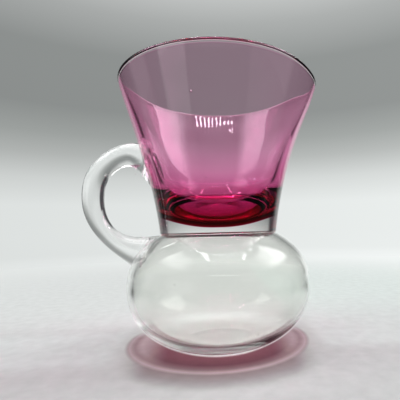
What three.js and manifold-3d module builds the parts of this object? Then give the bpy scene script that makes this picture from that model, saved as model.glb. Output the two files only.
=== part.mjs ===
// A small hand-blown pitcher glass: a flared cup lined with cranberry glass, on a hollow bulb foot,
// with one applied loop handle and a slight pouring lip opposite it.
// Millimetres, +Z up. The origin is the centre of the flat-ground foot. The handle is toward -X.

import * as THREE from "three";
import { mergeVertices } from "three/addons/utils/BufferGeometryUtils.js";
import Module from "manifold-3d";

// Heights of the foot's bulb and of the cup on it
const NECK_HEIGHT = 33.2;
const CUP_HEIGHT = 46.8;

// Outside of the cup: a wall that leaves the neck steeply and flares towards the rim
const NECK_RADIUS = 17.9;
const RIM_RADIUS = 30.2;
const NECK_LEAN = 7.2;
const RIM_LEAN = 17;
const WALL_PULL = 16.5;
const NECK_EDGE = 0.5;

// Clear glass of the cup: a thick base, a round-bottomed bowl in it and a wall that thins upwards
const BASE_THICKNESS = 2.5;
const RIM_CASING = 0.75;
const BOWL_RADIUS = 19;
const BOWL_RISE = 14.3;
const BOWL_LEAN = 17;
const BOWL_FLOOR_PULL = 9.5;
const BOWL_SIDE_PULL = 8;
const BOWL_WALL_PULL = 10;

// Cranberry lining of the bowl
const LINING_FLOOR = 1.5;
const LINING_RIM = 0.6;
const LINING_DROP = 0.35;

// Pouring lip, drawn out of the rim opposite the handle
const LIP_REACH = 2.2;
const LIP_DEPTH = 36;
const LIP_HALF_ANGLE = 22;

// Hollow bulb foot: a squashed bubble with a flat-ground underside, open under the cup
const BULB_RADIUS = 27.4;
const BULB_EQUATOR = 18.5;
const FULLNESS_ABOVE = 2.13;
const FULLNESS_BELOW = 2.19;
const FOOT_RADIUS = 9.9;
const BULB_WALL = 1.7;
const BULB_FLOOR = 2.8;
const SEAT_WIDTH = 2.6;

// Loop handle: its centre line, with heights above the neck
const LOOP_REACH = 38.5;
const LOOP_TOP = 25;
const LOOP_MIDDLE = 12.6;
const LOOP_END = -6.4;
const LOOP_TOP_RISE = 7;
const LOOP_END_FALL = 17;
const LOOP_TOP_PULL = 12;
const LOOP_CROWN_PULL = 8.2;
const LOOP_SIDE_PULL = 10;
const LOOP_END_PULL = 12.5;

// Half thickness of the rod along the loop
const ROD_TOP = 3.8;
const ROD_CROWN = 3.4;
const ROD_SIDE = 3.25;
const ROD_ELBOW = 2.75;
const ROD_END = 5.2;

// Pads where the hot rod was pressed on: half length along the wall, stand-off and half width
const UPPER_PAD = { below: 2.8, length: 7, depth: 3.2, width: 4.6 };
const LOWER_PAD = { inside: 4.3, length: 6, depth: 2.2, width: 5.8 };

// Glass surfaces that are fused on the real piece keep this much air between their solids
const SEAT_GAP = 0.3;

// Facets
const ROUND_STEPS = 56;
const CURVE_STEPS = 8;
const WALL_STEPS = 6;
const ROD_SIDES = 18;
const ROD_STEPS = 30;

const RIM_HEIGHT = NECK_HEIGHT + CUP_HEIGHT;

const clearGlass = new THREE.MeshStandardMaterial({
  color: 0xe4ebe6, roughness: 0.03, metalness: 0, transparent: true, opacity: 0.35,
});
const cranberryGlass = new THREE.MeshStandardMaterial({
  color: 0xb8256b, roughness: 0.03, metalness: 0, transparent: true, opacity: 0.5,
});

const point = (r, z) => new THREE.Vector2(r, z);

// A step of some length, leaning outwards from upright by an angle in degrees
function leaning(degrees, length) {
  const angle = THREE.MathUtils.degToRad(degrees);
  return point(Math.sin(angle), Math.cos(angle)).multiplyScalar(length);
}

// Joins stretches of an outline, leaving out a point that repeats the one before it
function joinStretches(...stretches) {
  const points = [];
  for (const p of stretches.flat()) {
    if (!points.length || points.at(-1).distanceTo(p) > 1e-4) points.push(p.clone());
  }
  return points;
}

// Moves each point of a line to its left by a thickness that may change along the line
function offsetLine(points, thickness) {
  return points.map((p, i) => {
    const before = points[Math.max(i - 1, 0)];
    const after = points[Math.min(i + 1, points.length - 1)];
    const along = after.clone().sub(before).normalize();
    const moved = p.clone().addScaledVector(point(-along.y, along.x), thickness(i / (points.length - 1)));
    if (p.x === 0) moved.x = 0;
    return moved;
  });
}

// The points between two ends on half a circle, turning clockwise or, with -1, the other way
function roundEnd(from, to, way = 1, steps = 4) {
  const centre = from.clone().add(to).multiplyScalar(0.5);
  const arm = from.clone().sub(centre);
  return Array.from({ length: steps - 1 }, (_, i) =>
    arm.clone().rotateAround(point(0, 0), (way * Math.PI * (i + 1)) / steps).add(centre));
}

function turned(profile) {
  return new THREE.LatheGeometry(profile, ROUND_STEPS).rotateX(Math.PI / 2);
}

function piece(name, geometry, material) {
  const mesh = new THREE.Mesh(geometry, material);
  mesh.name = name;
  return mesh;
}

// Outline of the cup's outside, from just above the neck's edge up to the rim
function cupOutside() {
  const neck = point(NECK_RADIUS, NECK_HEIGHT + NECK_EDGE);
  const rim = point(RIM_RADIUS, RIM_HEIGHT - RIM_CASING / 2);
  return new THREE.CubicBezierCurve(neck, neck.clone().add(leaning(NECK_LEAN, WALL_PULL)),
    rim.clone().sub(leaning(RIM_LEAN, WALL_PULL)), rim).getPoints(CURVE_STEPS);
}

// Outline of the clear glass's inside, from the middle of the floor up to the rim
function bowlOutline() {
  const floor = point(0, NECK_HEIGHT + BASE_THICKNESS);
  const side = point(BOWL_RADIUS, floor.y + BOWL_RISE);
  const rim = point(RIM_RADIUS - RIM_CASING, RIM_HEIGHT - RIM_CASING / 2);
  const floorCurve = new THREE.CubicBezierCurve(floor, point(BOWL_FLOOR_PULL, floor.y),
    side.clone().sub(leaning(BOWL_LEAN, BOWL_SIDE_PULL)), side);
  const wallCurve = new THREE.CubicBezierCurve(side, side.clone().add(leaning(BOWL_LEAN, BOWL_WALL_PULL)),
    rim.clone().sub(leaning(RIM_LEAN, BOWL_WALL_PULL)), rim);
  return joinStretches(floorCurve.getPoints(CURVE_STEPS), wallCurve.getPoints(WALL_STEPS));
}

// Draws the rim out over the lip's angle, more and more towards the top
function drawLip(geometry) {
  const place = geometry.attributes.position;
  const halfAngle = THREE.MathUtils.degToRad(LIP_HALF_ANGLE);
  for (let i = 0; i < place.count; i += 1) {
    const [x, y] = [place.getX(i), place.getY(i)];
    const radius = Math.hypot(x, y);
    if (radius > 0) {
      const rise = THREE.MathUtils.smoothstep(place.getZ(i), RIM_HEIGHT - LIP_DEPTH, RIM_HEIGHT) ** 2;
      const round = Math.exp(-((Math.atan2(y, x) / halfAngle) ** 2));
      const grow = 1 + (LIP_REACH * rise * round) / radius;
      place.setXY(i, x * grow, y * grow);
    }
  }
  geometry.computeVertexNormals();
  return geometry;
}

// The neck's lower edge, from the middle of the cup's flat underside to the foot of its wall
function neckEdge() {
  const centre = point(NECK_RADIUS - NECK_EDGE, NECK_HEIGHT + NECK_EDGE);
  const corner = centre.clone().add(leaning(135, NECK_EDGE));
  return [point(0, NECK_HEIGHT), point(centre.x, NECK_HEIGHT), corner];
}

function makeClearCup() {
  const outside = cupOutside();
  const bowl = bowlOutline().reverse();
  const lip = roundEnd(outside.at(-1), bowl[0]);
  return piece("clear_cup", drawLip(turned(joinStretches(neckEdge(), outside, lip, bowl))), clearGlass);
}

function makeCranberryLining() {
  const seat = offsetLine(bowlOutline(), () => SEAT_GAP);
  seat.at(-1).y -= LINING_DROP;
  const inside = offsetLine(seat, (t) => THREE.MathUtils.lerp(LINING_FLOOR, LINING_RIM, Math.sqrt(t)));
  const lip = roundEnd(seat.at(-1), inside.at(-1));
  const profile = joinStretches(seat, lip, inside.reverse());
  return piece("cranberry_lining", drawLip(turned(profile)), cranberryGlass);
}

// Half-height that brings a bubble of some radius through a point at a height from its equator
function halfHeight(radius, fullness, atRadius, atHeight) {
  return atHeight / (1 - (atRadius / radius) ** fullness) ** (1 / fullness);
}

// Part of the bubble's outline, a full ellipse, from the equator up or down to some radius
function bubbleStretch(radius, height, fullness, endRadius) {
  const end = Math.acos((endRadius / radius) ** (fullness / 2));
  return Array.from({ length: CURVE_STEPS + 1 }, (_, i) => {
    const t = (end * i) / CURVE_STEPS;
    const rise = height * Math.sin(t) ** (2 / fullness);
    return point(i === CURVE_STEPS ? endRadius : radius * Math.cos(t) ** (2 / fullness), BULB_EQUATOR + rise);
  });
}

// Outline of the bulb's outside, from the foot up to the neck
function bulbOutside() {
  const neck = NECK_RADIUS - NECK_EDGE;
  const above = halfHeight(BULB_RADIUS, FULLNESS_ABOVE, neck, NECK_HEIGHT - SEAT_GAP - BULB_EQUATOR);
  const below = halfHeight(BULB_RADIUS, FULLNESS_BELOW, FOOT_RADIUS, BULB_EQUATOR);
  return joinStretches(
    bubbleStretch(BULB_RADIUS, -below, FULLNESS_BELOW, FOOT_RADIUS).reverse(),
    bubbleStretch(BULB_RADIUS, above, FULLNESS_ABOVE, neck),
  );
}

// Outline of the hollow, from the mouth down to the middle of the floor
function bulbInside() {
  const radius = BULB_RADIUS - BULB_WALL;
  const mouth = NECK_RADIUS - NECK_EDGE - SEAT_WIDTH;
  const above = halfHeight(radius, FULLNESS_ABOVE, mouth, NECK_HEIGHT - SEAT_GAP - BULB_EQUATOR);
  return joinStretches(
    bubbleStretch(radius, above, FULLNESS_ABOVE, mouth).reverse(),
    bubbleStretch(radius, BULB_FLOOR - BULB_EQUATOR, FULLNESS_BELOW, 0),
  );
}

function makeBulbFoot() {
  const profile = joinStretches([point(0, 0)], bulbOutside(), bulbInside());
  return piece("bulb_foot", turned(profile), clearGlass);
}

// Height or radius of an outline where it passes a given value of the other
function outlineAt(outline, key, value) {
  const other = key === "x" ? "y" : "x";
  const next = outline.findIndex((p, i) => i > 0 && (p[key] - value) * (outline[i - 1][key] - value) <= 0);
  const [a, b] = [outline[next - 1], outline[next]];
  return THREE.MathUtils.mapLinear(value, a[key], b[key], a[other], b[other]);
}

// Eases through a row of evenly spaced values as t goes from 0 to 1
function easeThrough(values, t) {
  const place = Math.min(t * (values.length - 1), values.length - 1.000001);
  const i = Math.floor(place);
  return THREE.MathUtils.lerp(values[i], values[i + 1], THREE.MathUtils.smoothstep(place - i, 0, 1));
}

// Centre line of the loop, which starts inside the cup's wall and ends inside the bulb
function loopLine() {
  const start = new THREE.Vector3(ROD_TOP - outlineAt(cupOutside(), "y", NECK_HEIGHT + LOOP_TOP), 0,
    NECK_HEIGHT + LOOP_TOP);
  const middle = new THREE.Vector3(-LOOP_REACH, 0, NECK_HEIGHT + LOOP_MIDDLE);
  const end = new THREE.Vector3(ROD_END - outlineAt(bulbOutside().slice(-CURVE_STEPS), "y",
    NECK_HEIGHT + LOOP_END), 0, NECK_HEIGHT + LOOP_END);
  const along = (degrees, length) => {
    const angle = THREE.MathUtils.degToRad(degrees);
    return new THREE.Vector3(-Math.cos(angle), 0, Math.sin(angle)).multiplyScalar(length);
  };
  const up = (length) => new THREE.Vector3(0, 0, length);
  const path = new THREE.CurvePath();
  path.add(new THREE.CubicBezierCurve3(start, start.clone().add(along(LOOP_TOP_RISE, LOOP_TOP_PULL)),
    middle.clone().add(up(LOOP_CROWN_PULL)), middle));
  path.add(new THREE.CubicBezierCurve3(middle, middle.clone().sub(up(LOOP_SIDE_PULL)),
    end.clone().add(along(LOOP_END_FALL, LOOP_END_PULL)), end));
  return path;
}

// A round rod along a line in the XZ plane, with its half thickness as a function of the way along
function rod(path, halfThickness) {
  const positions = [];
  for (let i = 0; i <= ROD_STEPS; i += 1) {
    const t = i / ROD_STEPS;
    const centre = path.getPoint(t);
    const along = path.getTangent(t);
    for (let k = 0; k < ROD_SIDES; k += 1) {
      const angle = (2 * Math.PI * k) / ROD_SIDES;
      const out = halfThickness(t) * Math.cos(angle);
      positions.push(centre.x - along.z * out, halfThickness(t) * Math.sin(angle), centre.z + along.x * out);
    }
  }
  const ring = (i, k) => i * ROD_SIDES + (k % ROD_SIDES);
  const index = [];
  for (let i = 0; i < ROD_STEPS; i += 1) {
    for (let k = 0; k < ROD_SIDES; k += 1) {
      index.push(ring(i, k), ring(i + 1, k), ring(i, k + 1));
      index.push(ring(i, k + 1), ring(i + 1, k), ring(i + 1, k + 1));
    }
  }
  for (let k = 1; k < ROD_SIDES - 1; k += 1) {
    index.push(ring(0, 0), ring(0, k), ring(0, k + 1));
    index.push(ring(ROD_STEPS, 0), ring(ROD_STEPS, k + 1), ring(ROD_STEPS, k));
  }
  const geometry = new THREE.BufferGeometry();
  geometry.setAttribute("position", new THREE.Float32BufferAttribute(positions, 3));
  geometry.setIndex(index);
  return geometry;
}

// A pressed blob of glass centred on an outline at some height, lying along it on the handle's side
function pad(outline, height, { length, depth, width }) {
  const step = 0.5;
  const at = (z) => outlineAt(outline, "y", z);
  const slope = Math.atan2(at(height + step) - at(height - step), 2 * step);
  return new THREE.SphereGeometry(1, 24, 14)
    .scale(depth, width, length)
    .rotateY(-slope)
    .translate(-at(height), 0, height);
}

const wasm = await Module();
wasm.setup();

function toSolid(geometry) {
  const bare = geometry.clone();
  bare.deleteAttribute("normal");
  bare.deleteAttribute("uv");
  const merged = mergeVertices(bare, 1e-4);
  return new wasm.Manifold(new wasm.Mesh({
    numProp: 3,
    vertProperties: Float32Array.from(merged.attributes.position.array),
    triVerts: Uint32Array.from(merged.index.array),
  }));
}

function toGeometry(solid) {
  const mesh = solid.getMesh();
  const geometry = new THREE.BufferGeometry();
  geometry.setAttribute("position", new THREE.BufferAttribute(mesh.vertProperties, 3));
  geometry.setIndex(new THREE.BufferAttribute(mesh.triVerts, 1));
  geometry.computeVertexNormals();
  return geometry;
}

// The cup and the bulb as one filled body, grown by the seat gap, that shapes the handle's two feet
function handleSeat() {
  const grown = (outline) => {
    const skin = offsetLine(outline, () => -SEAT_GAP);
    return toSolid(turned(joinStretches([point(0, skin[0].y)], skin, [point(0, skin.at(-1).y)])));
  };
  const cup = joinStretches(neckEdge().slice(1), cupOutside());
  return grown(cup).add(grown(bulbOutside()));
}

function makeLoopHandle() {
  const loop = rod(loopLine(), (t) => easeThrough([ROD_TOP, ROD_CROWN, ROD_SIDE, ROD_ELBOW, ROD_END], t));
  const upperPad = pad(cupOutside(), NECK_HEIGHT + LOOP_TOP - UPPER_PAD.below, UPPER_PAD);
  const shoulder = bulbOutside().slice(-CURVE_STEPS);
  const lowerHeight = outlineAt(shoulder, "x", BULB_RADIUS - LOWER_PAD.inside);
  const lowerPad = pad(shoulder, lowerHeight, LOWER_PAD);
  const handle = toSolid(loop).add(toSolid(upperPad)).add(toSolid(lowerPad)).subtract(handleSeat());
  return piece("loop_handle", toGeometry(handle), clearGlass);
}

const pitcherGlass = new THREE.Group();
pitcherGlass.name = "pitcher_glass";
pitcherGlass.add(makeClearCup(), makeCranberryLining(), makeBulbFoot(), makeLoopHandle());

export default pitcherGlass;
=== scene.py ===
"""A small hand-blown pitcher glass on a pale table: a flared cup lined with cranberry glass, on a hollow
clear bulb, with one applied loop handle.

The origin is the middle of the foot, +Z is up, the handle points to -X and the camera is at -Y. Lengths
of the glass are in millimetres. Lengths of the table, the room and the lamps are in metres. Angles are in
degrees. Azimuths turn from +Y, straight behind the glass, towards +X.
"""

import math

import bpy
import numpy as np
from mathutils import Matrix, Vector


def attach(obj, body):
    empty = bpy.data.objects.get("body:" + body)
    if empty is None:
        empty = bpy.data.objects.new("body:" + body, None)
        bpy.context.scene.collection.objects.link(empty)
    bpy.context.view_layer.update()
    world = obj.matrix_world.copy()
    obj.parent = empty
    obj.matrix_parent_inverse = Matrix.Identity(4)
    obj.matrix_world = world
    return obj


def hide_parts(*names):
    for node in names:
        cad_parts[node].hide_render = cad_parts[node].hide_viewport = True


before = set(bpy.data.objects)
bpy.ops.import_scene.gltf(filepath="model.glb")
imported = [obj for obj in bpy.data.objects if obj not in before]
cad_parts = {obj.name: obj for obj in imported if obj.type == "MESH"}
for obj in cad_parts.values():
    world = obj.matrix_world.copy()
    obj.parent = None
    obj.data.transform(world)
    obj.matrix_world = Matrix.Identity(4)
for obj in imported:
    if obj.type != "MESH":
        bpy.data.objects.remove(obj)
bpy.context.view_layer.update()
MM = 0.001

# ---------------------------------------------------------------- sizes of the glass
# Camera
SENSOR = 36.0
LENS = 30.63
CAMERA_PLACE = (0.0, -107.4, 33.83)
CAMERA_PITCH, CAMERA_YAW, CAMERA_ROLL = 5.14, 4.215, -1.468
CAMERA_SHIFT = -0.108
CLIP_START = 5.0

# Cup: its outside
NECK_HEIGHT, RIM_HEIGHT = 33.2, 80.0
NECK_RADIUS, RIM_RADIUS = 17.9, 30.2
NECK_LEAN, RIM_LEAN, WALL_PULL = 7.2, 17.0, 16.5
NECK_EDGE = 0.5
RIM_OUTER, RIM_INNER, RIM_DROP = 0.3, 0.5, 0.05
LIP_REACH, LIP_DEPTH, LIP_HALF_ANGLE = 2.2, 36.0, 22.0

# Cup: its bowl, first the boundary between the two glasses and then the wall above the rounded floor
BASE_THICKNESS, RIM_CASING = 2.5, 0.75
BOWL_RADIUS, BOWL_RISE, BOWL_LEAN = 19.0, 14.3, 17.0
BOWL_FLOOR_PULL, BOWL_SIDE_PULL, BOWL_WALL_PULL = 9.5, 8.0, 10.0
LINING_FLOOR, LINING_RIM = 1.5, 0.6
FLOOR_SHARE = 8 / 14
SEAT_GAP = 0.3
WALL_HEIGHTS, WALLS = (0, 46, 60, 72, 80), (9, 3.9, 2.75, 2.4, 1.5)
EVEN_ABOVE, SMOOTH_ABOVE, SMOOTH_TIMES = 50, 44, 40

# Lining: how far it reaches under the bowl's skin at some heights
LINING_HEIGHTS = (35.0, 42.0, 48.0, 56.0, 66.0, 80.0)
LINING_DEPTHS = (1.75, 1.22, 0.67, 0.43, 0.385, 0.42)
LINING_UNDER_SKIN, LINING_UNDER_RIM = 0.03, 0.05

# Bulb
BULB_RADIUS, BULB_EQUATOR = 27.4, 18.5
FULLNESS_ABOVE, FULLNESS_BELOW, FULLNESS_INSIDE = 2.13, 2.19, 2.33
FOOT_RADIUS, BULB_WALL, BULB_FLOOR, SEAT_WIDTH = 9.9, 1.3, 0.9, 2.6
HOLLOW_SHIFT, HOLLOW_SHIFT_DEPTH = 0.4, 9.0
MOUTH_RADIUS = NECK_RADIUS - NECK_EDGE - SEAT_WIDTH

# Loop handle: pairs of points (x, z) on its outer and inner edge, with its half width there
LOOP = [
    ((-22.3, 63.0), (-19.4, 46.4), 5.2),
    ((-23.9, 62.2), (-21.3, 48.6), 4.8),
    ((-25.6, 62.05), (-23.9, 52.4), 4.2),
    ((-27.8, 62.0), (-26.3, 54.6), 3.7),
    ((-30.8, 61.3), (-28.6, 54.8), 3.5),
    ((-34.0, 59.7), (-30.7, 54.1), 3.4),
    ((-37.2, 57.2), (-32.5, 52.7), 3.35),
    ((-39.7, 54.2), (-33.9, 50.9), 3.3),
    ((-41.2, 50.7), (-34.8, 48.7), 3.3),
    ((-41.7, 46.6), (-35.15, 46.0), 3.3),
    ((-41.5, 42.6), (-35.1, 43.1), 3.25),
    ((-40.5, 38.9), (-34.6, 40.1), 3.2),
    ((-38.7, 35.4), (-33.4, 37.3), 3.2),
    ((-36.1, 32.1), (-31.5, 35.1), 3.3),
    ((-33.2, 29.2), (-29.1, 33.55), 3.6),
    ((-30.0, 26.7), (-26.3, 32.8), 4.2),
    ((-27.2, 24.6), (-22.9, 32.6), 5.0),
    ((-24.9, 22.6), (-19.3, 32.9), 5.6),
    ((-22.6, 21.0), (-17.2, 33.1), 5.8),
]
LOOP_SMOOTH = 60
PAD_GAP = 0.04  # between the handle's feet and the walls, so that light isn't trapped there

# Small bubbles in the glass: centre, radius, and height over width
CUP_BUBBLES = (((-6.2, -25.0, 68.6), 0.26, 1.3), ((-3.1, -19.6, 48.0), 0.16, 1.5),
               ((9.9, -22.0, 61.0), 0.1, 1.2))
BULB_BUBBLES = (((-10.6, -24.3, 21.4), 0.15, 1.0), ((9.0, -22.2, 8.6), 0.17, 1.2))
HANDLE_BUBBLES = (((-24.6, -3.0, 54.0), 0.22, 1.3), ((-25.0, -2.4, 51.9), 0.16, 1.3))

# Fineness of the meshes
ROUND_STEPS = 192
WALL_STEPS, BOWL_STEPS, BULB_STEPS, EDGE_STEPS, FINE_STEPS = 60, 44, 48, 6, 300
RIM_OUTER_STEPS, RIM_INNER_STEPS = 10, 12
LOOP_STEPS, LOOP_SIDES = 220, 56
BUBBLE_RINGS, BUBBLE_SIDES = 7, 10
CREASE_ANGLE = 35

# ---------------------------------------------------------------- looks
GLASS_IOR = 1.5
CLEAR_TINT, CASED_TINT = (0.998, 1.0, 0.996), (0.995, 0.995, 0.99)
BLOWN_TINT, GROUND_TINT = (0.96, 0.967, 0.945), (0.97, 0.98, 0.965)
# Tints that come in between two heights, of the bulb's shoulder and of the cup's rim
SHOULDER_HEIGHTS, SHOULDER_TINT = (22, 31), (0.87, 0.875, 0.855)
RIM_HEIGHTS, RIM_TINT = (78.9, 79.6), (0.9, 0.66, 0.76)
# How strongly the bulb mirrors the room, beside the other glass
BULB_MIRROR = 0.22
# Slight unevenness: the colour's lowest share, patches to the metre, and then for polished and for ground
# glass the highest roughness and the height of the waves
TINT_DRIFT = 0.992
TINT_SCALE, SMUDGE_SCALE, WAVE_SCALE = 60, 110, 70
SMUDGE_RANGE = 0.55, 0.8
POLISHED_SMUDGE, POLISHED_WAVE = 0.03, 0.05
GROUND_SMUDGE, GROUND_WAVE = 0.2, 0.02
CRANBERRY_ABSORPTION, CRANBERRY_DENSITY = (0.81, 0.06, 0.485), 1300
STREAK_SCALE, STREAK_TINT = 120.0, (0.985, 0.95, 0.97)
WHITE = (1.0, 1.0, 1.0)

# Table: paper colours before, behind and beside the glass, and where it shows only through the bulb; the paper
# is darker before the glass than behind it as painted shade, and lighter beside the glass and where it shows
# only through the bulb as painted light.
# A pair of places is where a colour starts and ends to change, and four are a change up and one down.
SHADED_TABLE, BACK_TABLE = (0.465, 0.48, 0.476), (0.56, 0.578, 0.572)
LEFT_TABLE_LIT, RIGHT_TABLE_LIT, UNDER_BULB_LIGHT = (0.575, 0.61, 0.6), (0.57, 0.615, 0.598), (0.76, 0.795, 0.8)
BACK_FROM = 0.004, 0.03
# Places of the painted light on the table to the left and to the right of the glass
LEFT_SIDE, LEFT_DEPTH = (-0.034, -0.024), (-0.02, -0.008, 0.01, 0.022)
RIGHT_SIDE, RIGHT_DEPTH = (0.024, 0.034), (-0.014, -0.002)
FIBRE_SCALE, FIBRE_RANGE, FIBRE_GAIN = 260.0, (0.3, 0.7), (0.95, 1.05)

# The rose light that the cup throws round the foot: its middle, and its tint at millimetres from there
CAST_PLACE = (-0.0006, 0.005, 0.0)
CAST_HALO = (0.42, 0.34, 0.355)
CAST_TINT = [(16, (0.21, 0.085, 0.11)), (22.5, (0.14, 0.058, 0.078)), (25.3, (0.22, 0.145, 0.16)),
             (27, CAST_HALO), (28.4, (0.25, 0.205, 0.215)), (31.5, (0.28, 0.255, 0.26)), (38, SHADED_TABLE)]
CAST_SPAN = 50
# Where it ends further out, and behind the glass
CAST_END, CAST_BACK = (0.034, 0.038), (0.008, 0.018)
# It is paler to both sides inside the halo, and ends at the halo there
HALO_SIDE, HALO_REACH = (0.014, 0.025), (0.013, 0.015, 0.023, 0.027)
CLEAN_SIDE, CLEAN_REACH = (0.018, 0.027), (0.0272, 0.0288)
# The line on the table that the bulb's lower edge covers, behind which the table gets painted light: y = bend *
# x ** 2 + start
HIDDEN_BEND, HIDDEN_START = 37.6, -0.0113
HIDDEN_EDGE, HIDDEN_REACH = (-0.001, 0.0015), (0.018, 0.036)

# Far table: it glows by itself. Glass mirrors it darker than the camera sees it, but not straight behind
FLOOR_RADII, FLOOR_DROP, FLOOR_RINGS, FLOOR_SIDES = (0.02, 3.0), 0.00002, 24, 96
FAR_SEEN, FAR_MIRRORED = (0.12, 0.35), (0.075, 0.13)
NEAR_GLOW, FAR_GLOW, GLOW_FADE = (0.84, 0.87, 0.86), (0.775, 0.805, 0.795), (0.25, 0.6)
DIM_GLOW, BAND_GLOW, BAND_FROM = (0.05, 0.05, 0.055), (0.95, 0.95, 0.95), (0.22, 0.3)
SHEET_ON_TABLE = 40, 60
# The right is lighter than the middle by this share, and the left darker
SIDE_GAIN = 0.12

# Room: colour of the sheet behind the glass by elevation
BACK_SHEET = [(4.5, (0.775, 0.805, 0.795)), (8.5, (0.645, 0.67, 0.66)), (12, (0.46, 0.48, 0.47)),
              (15, (0.355, 0.375, 0.365)), (19, (0.275, 0.29, 0.285)), (27, (0.28, 0.295, 0.29)),
              (32.5, (0.405, 0.42, 0.415)), (36, (0.53, 0.545, 0.54)), (42, (0.65, 0.67, 0.66))]
SHEET_LOWEST = -0.2
SHEET_SIDES = 39, 47
# Room beside and before the glass: its walls, its light ceiling and the place over the glass
WALL_DARK, WALL_LIGHT, WALL_RISE = (0.07, 0.07, 0.075), (0.5, 0.51, 0.5), (24, 32)
CEILING, CEILING_RISE = (1.5, 1.5, 1.5), (50, 63)
OVERHEAD, OVERHEAD_RISE = (0.6, 0.6, 0.6), (68, 76)
FRONT_DARK, FRONT_SIDES, FRONT_RISE = (0.04, 0.04, 0.045), (131, 138), (16, 22, 50, 60)
# Light bands low down: azimuths to the left and to the right, and share of their light
NEAR_LEFT_BAND, FAR_LEFT_BAND, RIGHT_BAND = (117, 120, 147, 150), (70, 80, 98, 102), (82, 92, 140, 146)
WEAK_BAND = 0.3
BAND_LIGHT, BAND_TOP = (1.4, 1.4, 1.4), (14, 20)
# Windows: azimuths, elevations and light
RIGHT_WINDOW, RIGHT_WINDOW_RISE, RIGHT_LIGHT = (57, 60, 92, 122), (27, 36, 54, 60), (6.5, 6.5, 6.5)
LEFT_WINDOW, LEFT_WINDOW_RISE, LEFT_LIGHT = (76, 80, 112, 137), (34, 42, 55, 61), (5.5, 5.5, 5.5)

# Soft light from overhead
SOFT_PLACE, SOFT_AIM, SOFT_SIZE, SOFT_RADIANCE = (0.0, -0.02, 0.55), (0, 0, 0.03), (0.26, 0.26), 1.9
# Lamps that the glass mirrors, all at one height. A row is its number of lamps, the x of its first and
# last one, the y of a lamp at x, and their size and radiance. A bar is its place, size, radiance and spin.
LAMP_HEIGHT = 0.4
BOWL_STROKES = (10, 0.128, -0.098, lambda x: 2.25 * (x - 0.004) ** 2 - 0.1582, (0.0055, 0.0075), 75.0)
BOWL_DOTS = ((-0.112, -0.147), (-0.121, -0.16), (-0.09, -0.162), (-0.1, -0.158), (-0.1, -0.132),
             (-0.113, -0.121), (0.148, -0.1))
BOWL_DOT_SIZE, BOWL_DOT_RADIANCE = (0.008, 0.006), 70.0
CUP_BARS = (((0.137, 0.0), (0.01, 0.2), 40.0, 0.0), ((-0.104, -0.01), (0.01, 0.2), 40.0, 6.3),
            ((0.005, -0.13), (0.17, 0.006), 14.0, 0.0))
CUP_ROW = (10, 0.095, -0.085, lambda x: 4 * x * x + 0.085, (0.008, 0.01), 40.0)
BULB_ROWS = ((20, -0.165, 0.185, lambda x: 4.3 * (x - 0.003) ** 2 - 0.118, (0.008, 0.008), 45.0),
             (5, -0.07, 0.01, lambda x: -0.15 * x - 0.2105, (0.01, 0.008), 45.0))
BULB_BARS = (((-0.093, -0.137), (0.016, 0.145), 40.0, 5.9), ((0.163, -0.11), (0.016, 0.1), 40.0, 0.0),
             ((0.06, -0.62), (0.45, 0.02), 12.0, 0.0))
HANDLE_BARS = (((-0.04, 0.03), (0.35, 0.25), 3.0, 0.0),)

# Glass needs long paths: light is mirrored many times inside its walls
LONG_PATH, DIFFUSE_PATH, CLEAR_PATH = 64, 4, 16


# ---------------------------------------------------------------- curves
def eased(t):
    """A share held from 0 to 1, that starts and ends softly."""
    t = np.clip(t, 0, 1)
    return t * t * (3 - 2 * t)


def bezier(p0, p1, p2, p3, steps):
    """Points along a cubic curve."""
    t = np.linspace(0, 1, steps + 1)[:, None]
    p0, p1, p2, p3 = (np.asarray(p, float) for p in (p0, p1, p2, p3))
    return (1 - t) ** 3 * p0 + 3 * t * (1 - t) ** 2 * p1 + 3 * t * t * (1 - t) * p2 + t**3 * p3


def leaning(degrees, length):
    """A step that leans outwards from upright."""
    a = math.radians(degrees)
    return length * np.array([math.sin(a), math.cos(a)])


def arc(centre, radius, start, end, steps):
    """Points along a part of a circle."""
    a = np.radians(np.linspace(start, end, steps + 1))
    return np.asarray(centre) + radius * np.stack([np.cos(a), np.sin(a)], 1)


def offset_line(points, thickness):
    """Moves each point of a line to its left by a thickness."""
    along = np.gradient(points, axis=0)
    along /= np.linalg.norm(along, axis=1)[:, None]
    moved = points + np.stack([-along[:, 1], along[:, 0]], 1) * np.reshape(thickness, (-1, 1))
    moved[points[:, 0] == 0, 0] = 0
    return moved


def smoothed(rows, times):
    """Evens out a row of values or points, whose ends stay."""
    rows = rows.copy()
    for _ in range(times):
        rows[1:-1] = (rows[:-2] + 2 * rows[1:-1] + rows[2:]) / 4
    return rows


def through(values, steps):
    """A smooth row of values through some given ones."""
    v = np.asarray(values, float)
    v = np.concatenate([[2 * v[0] - v[1]], v, [2 * v[-1] - v[-2]]])
    t = np.linspace(0, len(values) - 1, steps + 1)
    i = np.minimum(t.astype(int), len(values) - 2)
    u = (t - i)[:, None] if v.ndim > 1 else t - i
    a, b, c, d = v[i], v[i + 1], v[i + 2], v[i + 3]
    return 0.5 * (2 * b + (c - a) * u + (2 * a - 5 * b + 4 * c - d) * u**2 + (3 * b - a - 3 * c + d) * u**3)


def below(points, z):
    """The part of a rising outline under a height, ended at that height."""
    keep = points[points[:, 1] < z - 1e-6]
    r = np.interp(z, points[:, 1], points[:, 0])
    return np.concatenate([keep, [[r, z]]])


def half_height(radius, fullness, at_radius, at_height):
    """Half the height of a bubble whose outline passes through a point."""
    return at_height / (1 - (at_radius / radius) ** fullness) ** (1 / fullness)


def bubble(radius, height, fullness, end_radius, steps):
    """Outline of a bubble from its equator up or down to some radius."""
    end = math.acos((end_radius / radius) ** (fullness / 2))
    t = np.linspace(0, end, steps + 1)
    r = radius * np.cos(t) ** (2 / fullness)
    r[-1] = end_radius
    return np.stack([r, BULB_EQUATOR + height * np.sin(t) ** (2 / fullness)], 1)


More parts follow.
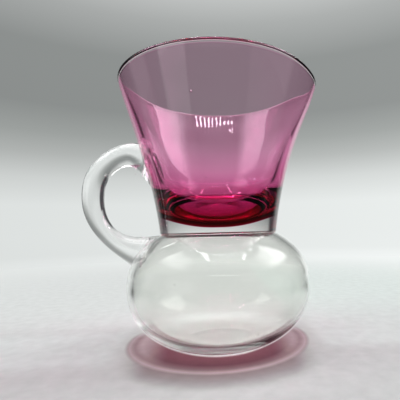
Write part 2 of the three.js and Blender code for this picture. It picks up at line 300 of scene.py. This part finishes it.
# ---------------------------------------------------------------- outlines
def cup_outside(steps=WALL_STEPS):
    """The cup's outer wall, from the neck up to the rim."""
    neck = np.array([NECK_RADIUS, NECK_HEIGHT + NECK_EDGE])
    rim = np.array([RIM_RADIUS, RIM_HEIGHT - RIM_CASING / 2])
    return bezier(neck, neck + leaning(NECK_LEAN, WALL_PULL), rim - leaning(RIM_LEAN, WALL_PULL), rim, steps)


def bowl_outline():
    """The boundary between the clear casing and the lining, with the share of the way to the rim."""
    floor = np.array([0, NECK_HEIGHT + BASE_THICKNESS])
    side = np.array([BOWL_RADIUS, floor[1] + BOWL_RISE])
    rim = np.array([RIM_RADIUS - RIM_CASING, RIM_HEIGHT - RIM_CASING / 2])
    low = bezier(floor, (BOWL_FLOOR_PULL, floor[1]), side - leaning(BOWL_LEAN, BOWL_SIDE_PULL), side,
                 BOWL_STEPS)
    high = bezier(side, side + leaning(BOWL_LEAN, BOWL_WALL_PULL), rim - leaning(RIM_LEAN, BOWL_WALL_PULL),
                  rim, BOWL_STEPS)
    share = np.concatenate([np.linspace(0, FLOOR_SHARE, BOWL_STEPS + 1),
                            np.linspace(FLOOR_SHARE, 1, BOWL_STEPS + 1)[1:]])
    return np.concatenate([low, high[1:]]), share


def bowl_skin():
    """The inside of the bowl, where the drink is. The wall is nearly even above the rounded floor."""
    outline, share = bowl_outline()
    skin = offset_line(outline, SEAT_GAP + LINING_FLOOR + (LINING_RIM - LINING_FLOOR) * np.sqrt(share))
    outside = cup_outside(FINE_STEPS)
    even = np.interp(skin[:, 1], outside[:, 1], outside[:, 0]) - np.interp(skin[:, 1], WALL_HEIGHTS, WALLS)
    skin[:, 0] = np.where(skin[:, 1] > EVEN_ABOVE, np.minimum(skin[:, 0], even), skin[:, 0])
    high = skin[:, 1] > SMOOTH_ABOVE
    skin[high] = smoothed(skin[high], SMOOTH_TIMES)
    return skin


def bulb_outside():
    """The bulb's outer wall, from the foot up to the neck."""
    neck = NECK_RADIUS - NECK_EDGE
    rise = half_height(BULB_RADIUS, FULLNESS_ABOVE, neck, NECK_HEIGHT - BULB_EQUATOR)
    drop = half_height(BULB_RADIUS, FULLNESS_BELOW, FOOT_RADIUS, BULB_EQUATOR)
    low = bubble(BULB_RADIUS, -drop, FULLNESS_BELOW, FOOT_RADIUS, BULB_STEPS)[::-1]
    return np.concatenate([low, bubble(BULB_RADIUS, rise, FULLNESS_ABOVE, neck, BULB_STEPS)[1:]])


def bulb_inside():
    """The bulb's hollow, from its mouth down to its floor."""
    radius = BULB_RADIUS - BULB_WALL
    rise = half_height(radius, FULLNESS_ABOVE, MOUTH_RADIUS, NECK_HEIGHT - BULB_EQUATOR)
    high = bubble(radius, rise, FULLNESS_ABOVE, MOUTH_RADIUS, BULB_STEPS)[::-1]
    return np.concatenate([high, bubble(radius, BULB_FLOOR - BULB_EQUATOR, FULLNESS_INSIDE, 0, BULB_STEPS)[1:]])


class Outline:
    """An outline to turn round the axis, from axis to axis, made of stretches that each have a material slot."""

    def __init__(self):
        self.points, self.slots = [], []

    def add(self, points, slot=0):
        for p in np.atleast_2d(points):
            if self.points and np.allclose(p, self.points[-1], atol=1e-5):
                continue
            if self.points:
                self.slots.append(slot)
            self.points.append(np.array(p, float))
        return self


# ---------------------------------------------------------------- meshes
def build(name, verts, faces, slots, materials):
    """A mesh object from rows of points in metres, faces and their material slots."""
    mesh = bpy.data.meshes.new(name)
    mesh.from_pydata([tuple(v) for v in verts], [], faces)
    for material in materials:
        mesh.materials.append(material)
    mesh.polygons.foreach_set("material_index", slots)
    mesh.update()
    obj = bpy.data.objects.new(name, mesh)
    bpy.context.scene.collection.objects.link(obj)
    return obj


def turn(name, outline, materials, shape=None):
    """Turns an outline that starts and ends on the axis round it, into a closed mesh."""
    points = np.array(outline.points)
    ring = points[1:-1]
    phi = 2 * math.pi * np.arange(ROUND_STEPS) / ROUND_STEPS
    r = np.repeat(ring[:, 0][:, None], ROUND_STEPS, 1)
    z = np.repeat(ring[:, 1][:, None], ROUND_STEPS, 1)
    f = np.repeat(phi[None, :], len(ring), 0)
    if shape:
        r = shape(r, f, z)
    verts = np.stack([r * np.cos(f), r * np.sin(f), z], 2).reshape(-1, 3)
    ends = [[0, 0, points[0, 1]], [0, 0, points[-1, 1]]]
    verts = np.concatenate([verts, ends]) * MM
    n, last = ROUND_STEPS, len(ring) - 1
    faces, slots = [], []
    for k in range(n):
        k2 = (k + 1) % n
        faces.append((len(verts) - 2, k2, k))
        slots.append(outline.slots[0])
        faces.append((len(verts) - 1, last * n + k, last * n + k2))
        slots.append(outline.slots[-1])
    for i in range(last):
        for k in range(n):
            k2 = (k + 1) % n
            faces.append((i * n + k, i * n + k2, (i + 1) * n + k2, (i + 1) * n + k))
            slots.append(outline.slots[i + 1])
    return build(name, verts, faces, slots, materials)


def finish_mesh(obj):
    """Smooth shading, with sharp edges where the surface really turns."""
    obj.data.shade_smooth()
    obj.data.set_sharp_from_angle(angle=math.radians(CREASE_ANGLE))


def with_lip(r, f, z):
    """Draws the wall out to a pouring lip at +X, more so towards the rim."""
    a = np.arctan2(np.sin(f), np.cos(f))
    share = eased((z - (RIM_HEIGHT - LIP_DEPTH)) / LIP_DEPTH) ** 2
    return r + LIP_REACH * share * np.exp(-((a / math.radians(LIP_HALF_ANGLE)) ** 2))


def make_cup(materials):
    """The clear cup, and the outline of its bowl. The second material is for the face on the bulb."""
    outside = below(cup_outside(), RIM_HEIGHT - RIM_OUTER)
    skin = below(bowl_skin(), RIM_HEIGHT - RIM_INNER - RIM_DROP)
    neck = NECK_RADIUS - NECK_EDGE
    line = Outline()
    line.add([0, NECK_HEIGHT]).add([MOUTH_RADIUS, NECK_HEIGHT])
    line.add([neck, NECK_HEIGHT], 1)
    line.add(arc((neck, NECK_HEIGHT + NECK_EDGE), NECK_EDGE, -90, 0, EDGE_STEPS))
    line.add(outside).add(arc((outside[-1, 0] - RIM_OUTER, outside[-1, 1]), RIM_OUTER, 0, 90, RIM_OUTER_STEPS))
    line.add(arc((skin[-1, 0] + RIM_INNER, skin[-1, 1]), RIM_INNER, 90, 180, RIM_INNER_STEPS)).add(skin[::-1])
    return turn("cup", line, materials, with_lip), skin


def make_lining(material, skin):
    """A closed shell just under the bowl's skin, thinner towards the rim, where it ends."""
    depth = np.interp(skin[:, 1], LINING_HEIGHTS, LINING_DEPTHS)
    outer = below(offset_line(skin, -depth), skin[-1, 1] - LINING_UNDER_RIM)
    line = Outline()
    line.add(outer).add(offset_line(skin, -LINING_UNDER_SKIN)[::-1])
    return turn("lining", line, [material], with_lip)


def make_bulb(materials):
    """The hollow bulb. The other materials are for the face under the cup and for the ground foot."""
    inside = bulb_inside()
    line = Outline()
    line.add([0, 0]).add([FOOT_RADIUS, 0], 2).add(bulb_outside())
    first = len(line.points) - 1
    line.add(inside[0], 1).add(inside)
    bulb = turn("bulb", line, materials)
    foot_middle = len(bulb.data.vertices) - 2
    for vert in bulb.data.vertices:
        if vert.index // ROUND_STEPS >= first and vert.index != foot_middle:
            vert.co.x += HOLLOW_SHIFT * MM * eased((NECK_HEIGHT - vert.co.z / MM) / HOLLOW_SHIFT_DEPTH)
    return bulb


def make_handle(material):
    """The bent rod, before its feet are cut to the walls."""
    outer, inner, width = (smoothed(through(column, LOOP_STEPS), LOOP_SMOOTH) for column in zip(*LOOP))
    a = 2 * math.pi * np.arange(LOOP_SIDES) / LOOP_SIDES
    centre, arm = (outer + inner) / 2, (outer - inner) / 2
    x = centre[:, 0:1] + arm[:, 0:1] * np.cos(a)
    z = centre[:, 1:2] + arm[:, 1:2] * np.cos(a)
    y = width[:, None] * np.sin(a)
    verts = np.stack([x, y, z], 2).reshape(-1, 3)
    verts = np.concatenate([verts, [[centre[0, 0], 0, centre[0, 1]], [centre[-1, 0], 0, centre[-1, 1]]]]) * MM
    n, faces = LOOP_SIDES, []
    for i in range(LOOP_STEPS):
        for k in range(n):
            k2 = (k + 1) % n
            faces.append((i * n + k, (i + 1) * n + k, (i + 1) * n + k2, i * n + k2))
    for k in range(n):
        k2 = (k + 1) % n
        faces.append((len(verts) - 2, k, k2))
        faces.append((len(verts) - 1, LOOP_STEPS * n + k2, LOOP_STEPS * n + k))
    return build("handle", verts, faces, [0] * len(faces), [material])


def add_bubbles(obj, places):
    """Leaves small voids in the glass, whose faces look into them."""
    mesh = obj.data
    verts, faces = [], []
    rings, sides = BUBBLE_RINGS, BUBBLE_SIDES
    for (x, y, z), radius, stretch in places:
        start = len(verts)
        verts.append((x, y, z + radius * stretch))
        for i in range(1, rings):
            a = math.pi * i / rings
            verts += [(x + radius * math.sin(a) * math.cos(2 * math.pi * k / sides),
                       y + radius * math.sin(a) * math.sin(2 * math.pi * k / sides),
                       z + radius * stretch * math.cos(a)) for k in range(sides)]
        verts.append((x, y, z - radius * stretch))
        last = len(verts) - 1
        for k in range(sides):
            k2 = (k + 1) % sides
            faces.append((start, start + 1 + k2, start + 1 + k))
            faces.append((last, last - sides + k, last - sides + k2))
            for i in range(rings - 2):
                a, b = start + 1 + i * sides + k, start + 1 + i * sides + k2
                faces.append((a, b, b + sides, a + sides))
    old = [tuple(v.co) for v in mesh.vertices]
    kept = [tuple(p.vertices) for p in mesh.polygons]
    slots = [p.material_index for p in mesh.polygons]
    n = len(old)
    new = bpy.data.meshes.new(obj.name)
    new.from_pydata(old + [tuple(c * MM for c in v) for v in verts], [],
                    kept + [tuple(i + n for i in f) for f in faces])
    for material in mesh.materials:
        new.materials.append(material)
    new.polygons.foreach_set("material_index", slots + [0] * len(faces))
    new.update()
    obj.data = new
    bpy.data.meshes.remove(mesh)
    new.name = obj.name


def cut_off(target, outline, shape=None):
    """Cuts away what of the target lies inside a turned outline, or a hair outside it."""
    skin = offset_line(outline, -PAD_GAP)
    line = Outline()
    line.add([0, skin[0, 1]]).add(skin).add([0, skin[-1, 1]])
    core = turn("core", line, list(target.data.materials), shape)
    cut = target.modifiers.new("cut", "BOOLEAN")
    cut.operation, cut.object, cut.solver = "DIFFERENCE", core, "EXACT"
    cut.material_mode = "TRANSFER"
    depsgraph = bpy.context.evaluated_depsgraph_get()
    mesh = bpy.data.meshes.new_from_object(target.evaluated_get(depsgraph))
    target.modifiers.clear()
    spent = [target.data, core.data]
    target.data = mesh
    bpy.data.objects.remove(core)
    for old in spent:
        bpy.data.meshes.remove(old)
    mesh.name = target.name


# ---------------------------------------------------------------- nodes
def link_or_set(tree, socket, value):
    """Feeds a socket from another one, or sets it to a number or colour."""
    if isinstance(value, bpy.types.NodeSocket):
        tree.links.new(value, socket)
    elif isinstance(value, tuple):
        socket.default_value = (*value, 1)
    else:
        socket.default_value = value


def math_node(tree, operation, *values):
    """One sum, product or function of numbers or sockets."""
    node = tree.nodes.new("ShaderNodeMath")
    node.operation = operation
    for socket, value in zip(node.inputs, values):
        link_or_set(tree, socket, value)
    return node.outputs[0]


def product(tree, *values):
    """Several shares multiplied."""
    result = values[0]
    for value in values[1:]:
        result = math_node(tree, "MULTIPLY", result, value)
    return result


def map_range(tree, value, source, target, kind="LINEAR"):
    """Carries one range of values over to another, held at its ends."""
    node = tree.nodes.new("ShaderNodeMapRange")
    node.interpolation_type = kind
    node.inputs["From Min"].default_value, node.inputs["From Max"].default_value = source
    node.inputs["To Min"].default_value, node.inputs["To Max"].default_value = target
    tree.links.new(value, node.inputs["Value"])
    return node.outputs["Result"]


def rise(tree, value, start, end):
    """0 up to the start, easing to 1 at the end."""
    return map_range(tree, value, (start, end), (0, 1), "SMOOTHSTEP")


def fall(tree, value, start, end):
    """1 up to the start, easing to 0 at the end."""
    return map_range(tree, value, (start, end), (1, 0), "SMOOTHSTEP")


def between(tree, value, *edges):
    """1 between the two middle edges, easing to 0 at the outer ones."""
    return product(tree, rise(tree, value, *edges[:2]), fall(tree, value, *edges[2:]))


def radians_of(edges):
    """Angles for the nodes, from degrees."""
    return [math.radians(edge) for edge in edges]


def sector(tree, angle, edges):
    """1 between the two middle angles of four, given in degrees."""
    return between(tree, angle, *radians_of(edges))


def blend(tree, share, low, high):
    """A colour between two others."""
    node = tree.nodes.new("ShaderNodeMix")
    node.data_type = "RGBA"
    for name, value in (("Factor", share), ("A", low), ("B", high)):
        link_or_set(tree, [i for i in node.inputs if i.name == name and i.enabled][0], value)
    return [o for o in node.outputs if o.enabled][0]


def ramp(tree, stops, source):
    """A colour that changes along a value."""
    node = tree.nodes.new("ShaderNodeValToRGB")
    elements = node.color_ramp.elements
    while len(elements) < len(stops):
        elements.new(0.5)
    for element, (place, colour) in zip(elements, stops):
        element.position = place
        element.color = (*colour, 1)
    tree.links.new(source, node.inputs[0])
    return node.outputs["Color"]


def noise(tree, coord, scale, detail=2.0):
    """Soft random patches, so many to the metre."""
    node = tree.nodes.new("ShaderNodeTexNoise")
    node.inputs["Scale"].default_value, node.inputs["Detail"].default_value = scale, detail
    tree.links.new(coord, node.inputs["Vector"])
    return node.outputs[0]


def coordinates(tree, kind):
    """A texture coordinate and its x, y and z."""
    coord = tree.nodes.new("ShaderNodeTexCoord").outputs[kind]
    split = tree.nodes.new("ShaderNodeSeparateXYZ")
    tree.links.new(coord, split.inputs[0])
    return coord, *split.outputs


def length_from(tree, coord, place=(0.0, 0.0, 0.0)):
    """Distance from a place."""
    node = tree.nodes.new("ShaderNodeVectorMath")
    node.operation = "DISTANCE"
    tree.links.new(coord, node.inputs[0])
    node.inputs[1].default_value = place
    return node.outputs["Value"]


def scaled(tree, colour, factor):
    """A colour made lighter or darker."""
    node = tree.nodes.new("ShaderNodeVectorMath")
    node.operation = "SCALE"
    tree.links.new(colour, node.inputs[0])
    tree.links.new(factor, node.inputs["Scale"])
    return node.outputs[0]


def camera_ray(tree):
    """1 for what the camera sees straight, 0 for what shows through or in the glass."""
    return tree.nodes.new("ShaderNodeLightPath").outputs["Is Camera Ray"]


# ---------------------------------------------------------------- materials
def principled(name, **values):
    """A material with its shader and its nodes."""
    material = bpy.data.materials.new(name)
    material.use_nodes = True
    shader = material.node_tree.nodes["Principled BSDF"]
    for key, value in values.items():
        shader.inputs[key].default_value = value
    return material, shader, material.node_tree


def glass(name, colour, smudge, wave, mirror=1.0, band=None):
    """Hand-worked glass: slight colour, polish and surface waves, and a tint between two heights."""
    material, shader, tree = principled(name, **{
        "IOR": GLASS_IOR, "Transmission Weight": 1.0, "Specular Tint": (mirror, mirror, mirror, 1)})
    coord, _, _, z = coordinates(tree, "Object")
    tint = blend(tree, noise(tree, coord, TINT_SCALE), colour, tuple(c * TINT_DRIFT for c in colour))
    if band:
        (start, end), band_tint = band
        tint = blend(tree, rise(tree, z, start * MM, end * MM), tint, band_tint)
    tree.links.new(tint, shader.inputs["Base Color"])
    polish = map_range(tree, noise(tree, coord, SMUDGE_SCALE, 4.0), SMUDGE_RANGE, (0.0, smudge))
    tree.links.new(polish, shader.inputs["Roughness"])
    bump = tree.nodes.new("ShaderNodeBump")
    bump.inputs["Strength"].default_value, bump.inputs["Distance"].default_value = 1.0, wave * MM
    tree.links.new(noise(tree, coord, WAVE_SCALE, 1.0), bump.inputs["Height"])
    tree.links.new(bump.outputs[0], shader.inputs["Normal"])
    return material


def unseen_face(name):
    """A face inside the glass, where light goes straight on."""
    return principled(name, **{"Base Color": (1, 1, 1, 1), "Roughness": 0.0, "IOR": 1.0,
                               "Transmission Weight": 1.0, "Specular IOR Level": 0.0})


def cranberry():
    """The lining's colour is in its depth, and slightly streaked."""
    material, shader, tree = unseen_face("cranberry_glass")
    coord = coordinates(tree, "Object")[0]
    streaks = blend(tree, noise(tree, coord, STREAK_SCALE, 3.0), WHITE, STREAK_TINT)
    tree.links.new(streaks, shader.inputs["Base Color"])
    absorb = tree.nodes.new("ShaderNodeVolumeAbsorption")
    absorb.inputs["Color"].default_value = (*CRANBERRY_ABSORPTION, 1)
    absorb.inputs["Density"].default_value = CRANBERRY_DENSITY
    tree.links.new(absorb.outputs["Volume"], tree.nodes["Material Output"].inputs["Volume"])
    return material


# ---------------------------------------------------------------- the glass
def make_glass():
    """Makes the four pieces and puts each in the place of its solid."""
    clear = glass("clear_glass", CLEAR_TINT, POLISHED_SMUDGE, POLISHED_WAVE)
    blown = glass("blown_glass", BLOWN_TINT, POLISHED_SMUDGE, POLISHED_WAVE, BULB_MIRROR,
                  (SHOULDER_HEIGHTS, SHOULDER_TINT))
    cased = glass("cased_glass", CASED_TINT, POLISHED_SMUDGE, POLISHED_WAVE, band=(RIM_HEIGHTS, RIM_TINT))
    ground = glass("ground_foot", GROUND_TINT, GROUND_SMUDGE, GROUND_WAVE)
    fused = unseen_face("fused_glass")[0]
    cup, skin = make_cup([cased, fused])
    lining = make_lining(cranberry(), skin)
    bulb = make_bulb([blown, fused, ground])
    handle = make_handle(clear)
    add_bubbles(cup, CUP_BUBBLES)
    add_bubbles(bulb, BULB_BUBBLES)
    add_bubbles(handle, HANDLE_BUBBLES)
    cut_off(handle, cup_outside(), with_lip)
    cut_off(handle, bulb_outside())
    for piece, node, slot in ((cup, "clear_cup", "clear_glass"),
                              (lining, "cranberry_lining", "cranberry_glass"),
                              (bulb, "bulb_foot", "clear_glass"), (handle, "loop_handle", "clear_glass")):
        finish_mesh(piece)
        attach(piece, "root")
        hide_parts(node)
    return cup, bulb, handle


# ---------------------------------------------------------------- the stage
def low_bands(tree, swing, other):
    """Where the room beside and before the glass is light low down, between its dark parts."""
    left = math_node(tree, "MAXIMUM", sector(tree, other, NEAR_LEFT_BAND),
                     product(tree, sector(tree, other, FAR_LEFT_BAND), WEAK_BAND))
    return math_node(tree, "MAXIMUM", left, product(tree, sector(tree, swing, RIGHT_BAND), WEAK_BAND))


def table_paint(tree, coord, x, y):
    """Colour of the near table top, with painted shade before the glass, painted light beside it and where it
    shows only through the bulb, and the rose light of the glass painted on it.
    """
    reach = length_from(tree, coord, CAST_PLACE)
    aside = math_node(tree, "ABSOLUTE", x)
    # Painted shade: the table is darker before the glass than behind it
    paper_and_shading = blend(tree, rise(tree, y, *BACK_FROM), SHADED_TABLE, BACK_TABLE)
    # Painted light: the table is lighter to the left and to the right of the glass
    lit_flank = product(tree, fall(tree, x, *LEFT_SIDE), between(tree, y, *LEFT_DEPTH))
    paper_and_shading = blend(tree, lit_flank, paper_and_shading, LEFT_TABLE_LIT)
    lit_flank = product(tree, rise(tree, x, *RIGHT_SIDE), rise(tree, y, *RIGHT_DEPTH))
    paper_and_shading = blend(tree, lit_flank, paper_and_shading, RIGHT_TABLE_LIT)
    ring = ramp(tree, [(r / CAST_SPAN, c) for r, c in CAST_TINT], product(tree, reach, 1 / (CAST_SPAN * MM)))
    pale = product(tree, rise(tree, aside, *HALO_SIDE), between(tree, reach, *HALO_REACH))
    ring = blend(tree, pale, ring, CAST_HALO)
    clean = product(tree, rise(tree, reach, *CLEAN_REACH), rise(tree, aside, *CLEAN_SIDE))
    ring = blend(tree, clean, ring, paper_and_shading)
    line = math_node(tree, "MULTIPLY_ADD", product(tree, x, x), HIDDEN_BEND, HIDDEN_START)
    hidden = rise(tree, math_node(tree, "SUBTRACT", y, line), *HIDDEN_EDGE)
    cast = product(tree, fall(tree, reach, *CAST_END), math_node(tree, "SUBTRACT", 1.0, hidden))
    tint = blend(tree, product(tree, fall(tree, y, *CAST_BACK), cast), paper_and_shading, ring)
    # Painted light on the table where it shows only through the bulb
    tint = blend(tree, product(tree, hidden, fall(tree, reach, *HIDDEN_REACH)), tint, UNDER_BULB_LIGHT)
    fibres = map_range(tree, noise(tree, coord, FIBRE_SCALE, 5.0), FIBRE_RANGE, FIBRE_GAIN)
    return scaled(tree, tint, fibres)


def table_material():
    """Paper near the glass. Further away it glows, and passes into the sheet behind."""
    material = bpy.data.materials.new("table")
    material.use_nodes = True
    tree = material.node_tree
    tree.nodes.clear()
    out = tree.nodes.new("ShaderNodeOutputMaterial")
    diffuse = tree.nodes.new("ShaderNodeBsdfDiffuse")
    glow = tree.nodes.new("ShaderNodeEmission")
    mix = tree.nodes.new("ShaderNodeMixShader")
    coord, x, y, _ = coordinates(tree, "Object")
    away = length_from(tree, coord)
    swing = math_node(tree, "ARCTAN2", x, y)
    sheet = fall(tree, math_node(tree, "ABSOLUTE", swing), *radians_of(SHEET_ON_TABLE))
    shown = math_node(tree, "MAXIMUM", camera_ray(tree), sheet)
    bands = product(tree, low_bands(tree, swing, product(tree, swing, -1.0)), rise(tree, away, *BAND_FROM))
    mirrored = blend(tree, bands, DIM_GLOW, BAND_GLOW)
    seen = blend(tree, rise(tree, away, *GLOW_FADE), NEAR_GLOW, FAR_GLOW)
    seen = scaled(tree, seen, math_node(tree, "MULTIPLY_ADD", math_node(tree, "SINE", swing), SIDE_GAIN, 1.0))
    tree.links.new(blend(tree, shown, mirrored, seen), glow.inputs["Color"])
    tree.links.new(table_paint(tree, coord, x, y), diffuse.inputs["Color"])
    far = math_node(tree, "ADD", product(tree, shown, rise(tree, away, *FAR_SEEN)),
                    product(tree, math_node(tree, "SUBTRACT", 1.0, shown), rise(tree, away, *FAR_MIRRORED)))
    tree.links.new(far, mix.inputs[0])
    tree.links.new(diffuse.outputs[0], mix.inputs[1])
    tree.links.new(glow.outputs[0], mix.inputs[2])
    tree.links.new(mix.outputs[0], out.inputs["Surface"])
    return material


def make_floor():
    """A round table top, a hair under the foot."""
    n = FLOOR_SIDES
    verts, faces = [(0, 0, -FLOOR_DROP)], []
    for r in np.geomspace(*FLOOR_RADII, FLOOR_RINGS):
        for k in range(n):
            a = 2 * math.pi * k / n
            verts.append((r * math.cos(a), r * math.sin(a), -FLOOR_DROP))
    for k in range(n):
        faces.append((0, 1 + k, 1 + (k + 1) % n))
    for i in range(FLOOR_RINGS - 1):
        for k in range(n):
            a, b = 1 + i * n + k, 1 + i * n + (k + 1) % n
            faces.append((a, a + n, b + n, b))
    floor = build("table", verts, faces, [0] * len(faces), [table_material()])


def make_world():
    """The sheet behind the glass, which the camera sees on all sides, and the room that the glass mirrors."""
    world = bpy.data.worlds.new("studio")
    bpy.context.scene.world = world
    world.use_nodes = True
    tree = world.node_tree
    tree.nodes.clear()
    out = tree.nodes.new("ShaderNodeOutputWorld")
    sky = tree.nodes.new("ShaderNodeBackground")
    _, x, y, z = coordinates(tree, "Generated")
    span = 1 - SHEET_LOWEST
    stops = [((math.sin(math.radians(a)) - SHEET_LOWEST) / span, colour) for a, colour in BACK_SHEET]
    sheet = ramp(tree, stops, map_range(tree, z, (SHEET_LOWEST, 1.0), (0.0, 1.0)))
    sheet = scaled(tree, sheet, math_node(tree, "MULTIPLY_ADD", x, SIDE_GAIN, 1.0))
    swing = math_node(tree, "ARCTAN2", x, y)
    other = product(tree, swing, -1.0)
    aside = math_node(tree, "ABSOLUTE", swing)
    steep = math_node(tree, "ARCSINE", z)
    room = blend(tree, rise(tree, steep, *radians_of(WALL_RISE)), WALL_DARK, WALL_LIGHT)
    room = blend(tree, fall(tree, aside, *radians_of(SHEET_SIDES)), room, sheet)
    bands = product(tree, low_bands(tree, swing, other), fall(tree, steep, *radians_of(BAND_TOP)))
    room = blend(tree, bands, room, BAND_LIGHT)
    dark = product(tree, rise(tree, aside, *radians_of(FRONT_SIDES)), sector(tree, steep, FRONT_RISE))
    room = blend(tree, dark, room, FRONT_DARK)
    room = blend(tree, rise(tree, steep, *radians_of(CEILING_RISE)), room, CEILING)
    room = blend(tree, rise(tree, steep, *radians_of(OVERHEAD_RISE)), room, OVERHEAD)
    for azimuth, sides, heights, light in ((swing, RIGHT_WINDOW, RIGHT_WINDOW_RISE, RIGHT_LIGHT),
                                           (other, LEFT_WINDOW, LEFT_WINDOW_RISE, LEFT_LIGHT)):
        window = product(tree, sector(tree, azimuth, sides), sector(tree, steep, heights))
        room = blend(tree, window, room, light)
    tree.links.new(blend(tree, camera_ray(tree), room, sheet), sky.inputs["Color"])
    tree.links.new(sky.outputs[0], out.inputs["Surface"])


def area_light(name, place, size, radiance):
    """A lamp that shines down, and looks as bright as its radiance."""
    light = bpy.data.lights.new(name, "AREA")
    light.shape = "RECTANGLE"
    light.size, light.size_y = size
    light.energy = radiance * math.pi * size[0] * size[1]
    lamp = bpy.data.objects.new(name, light)
    bpy.context.scene.collection.objects.link(lamp)
    lamp.location = place
    return lamp


def bar(place, size, radiance, spin=0.0, only=None):
    """One small lamp that the glass mirrors, if wanted only in one piece."""
    lamp = area_light("lamp_bar", (*place, LAMP_HEIGHT), size, radiance)
    lamp.rotation_euler = (0, 0, math.radians(spin))
    lamp.visible_diffuse = False
    if only:
        lamp.light_linking.receiver_collection = only


def row(count, first, last, y_at, size, radiance, only=None):
    """Small lamps along a curve."""
    for x in np.linspace(first, last, count):
        bar((x, y_at(x)), size, radiance, only=only)


def only_for(piece):
    """A collection that holds one piece, for lamps that shine on it alone."""
    collection = bpy.data.collections.new(piece.name + "_only")
    collection.objects.link(piece)
    return collection


def make_lamps(cup, bulb, handle):
    """The soft light, and the small lamps that are seen in the bowl, in the cup's floor and in each piece."""
    soft = area_light("overhead", SOFT_PLACE, SOFT_SIZE, SOFT_RADIANCE)
    soft.rotation_euler = (Vector(SOFT_AIM) - Vector(SOFT_PLACE)).to_track_quat("-Z", "Y").to_euler()
    soft.visible_glossy = False
    row(*BOWL_STROKES)
    for place in BOWL_DOTS:
        bar(place, BOWL_DOT_SIZE, BOWL_DOT_RADIANCE)
    for piece, bars, rows in ((cup, CUP_BARS, [CUP_ROW]), (bulb, BULB_BARS, BULB_ROWS),
                              (handle, HANDLE_BARS, [])):
        only = only_for(piece)
        for values in bars:
            bar(*values, only)
        for values in rows:
            row(*values, only)


def make_camera():
    """The camera at the photograph's place and angle."""
    pitch, yaw, roll = (math.radians(a) for a in (CAMERA_PITCH, CAMERA_YAW, CAMERA_ROLL))
    ahead = Vector((math.sin(yaw) * math.cos(pitch), math.cos(yaw) * math.cos(pitch), math.sin(pitch)))
    level = Vector((math.cos(yaw), -math.sin(yaw), 0))
    up = level.cross(ahead)
    right = math.cos(roll) * level + math.sin(roll) * up
    up = -math.sin(roll) * level + math.cos(roll) * up
    camera = bpy.data.objects.new("camera", bpy.data.cameras.new("camera"))
    camera.data.sensor_width, camera.data.lens = SENSOR, LENS
    camera.data.shift_x = CAMERA_SHIFT
    camera.data.clip_start = CLIP_START * MM
    facing = Matrix((right, up, -ahead)).transposed().to_4x4()
    camera.matrix_world = Matrix.Translation(Vector(CAMERA_PLACE) * MM) @ facing
    bpy.context.scene.collection.objects.link(camera)
    bpy.context.scene.camera = camera


def set_light_paths():
    """Lets light pass through all the glass, and keeps the lamps' small images whole."""
    scene = bpy.context.scene
    scene.view_settings.view_transform = "Standard"
    scene.cycles.max_bounces = scene.cycles.transmission_bounces = scene.cycles.glossy_bounces = LONG_PATH
    scene.cycles.diffuse_bounces = DIFFUSE_PATH
    scene.cycles.transparent_max_bounces = CLEAR_PATH
    scene.cycles.blur_glossy = 0.0
    scene.cycles.sample_clamp_indirect = 0.0


make_camera()
cup, bulb, handle = make_glass()
make_floor()
make_world()
make_lamps(cup, bulb, handle)
set_light_paths()
